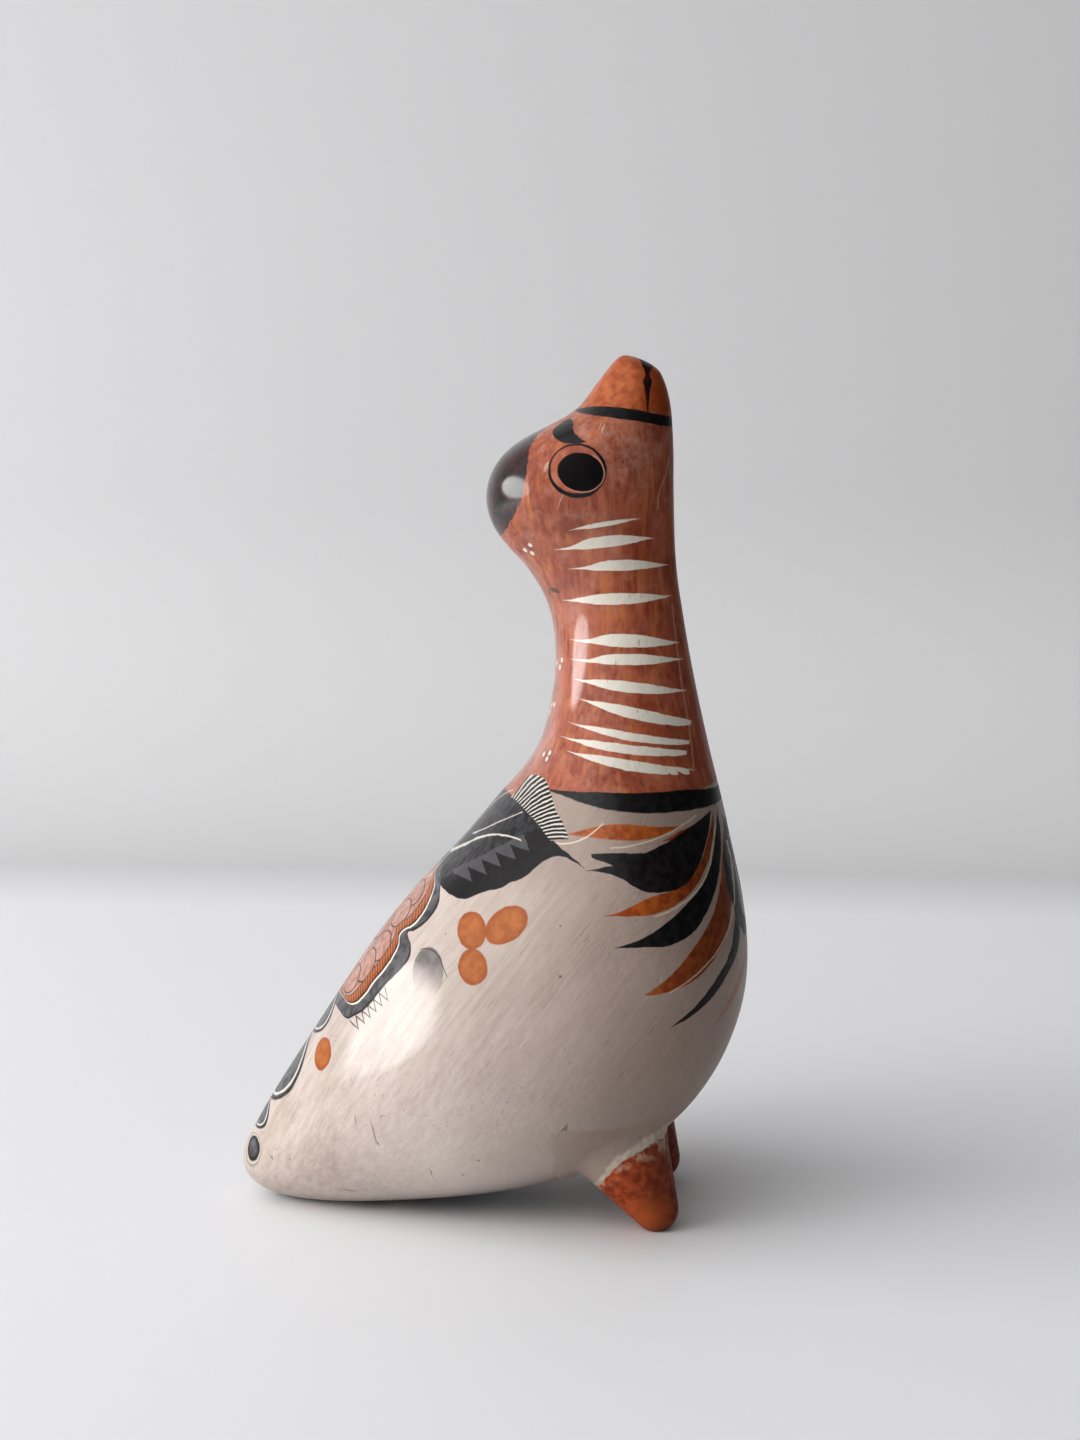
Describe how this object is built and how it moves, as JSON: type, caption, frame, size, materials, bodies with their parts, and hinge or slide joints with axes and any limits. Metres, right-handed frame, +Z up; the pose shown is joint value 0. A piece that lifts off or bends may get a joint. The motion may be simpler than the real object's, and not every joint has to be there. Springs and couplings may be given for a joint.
{
  "type": "pottery bird figurine",
  "caption": "Burnished, painted pottery bird figurine with its head thrown back and its beak pointing straight up; it rests on stubby feet and the underside of its tail.",
  "frame": {"origin": "on the floor under the middle of the bird, halfway between its tail tip and its breast, on its plane of symmetry", "axes": "+X towards the breast, +Y towards the bird's own left side, +Z up towards the tip of the beak"},
  "size_m": [0.1448, 0.1046, 0.24],
  "materials": {
    "painted_clay": "slip-painted clay, burnished to a gloss"
  },
  "bodies": {
    "root": {"pottery_bird": "painted_clay"}
  },
  "joints": []
}
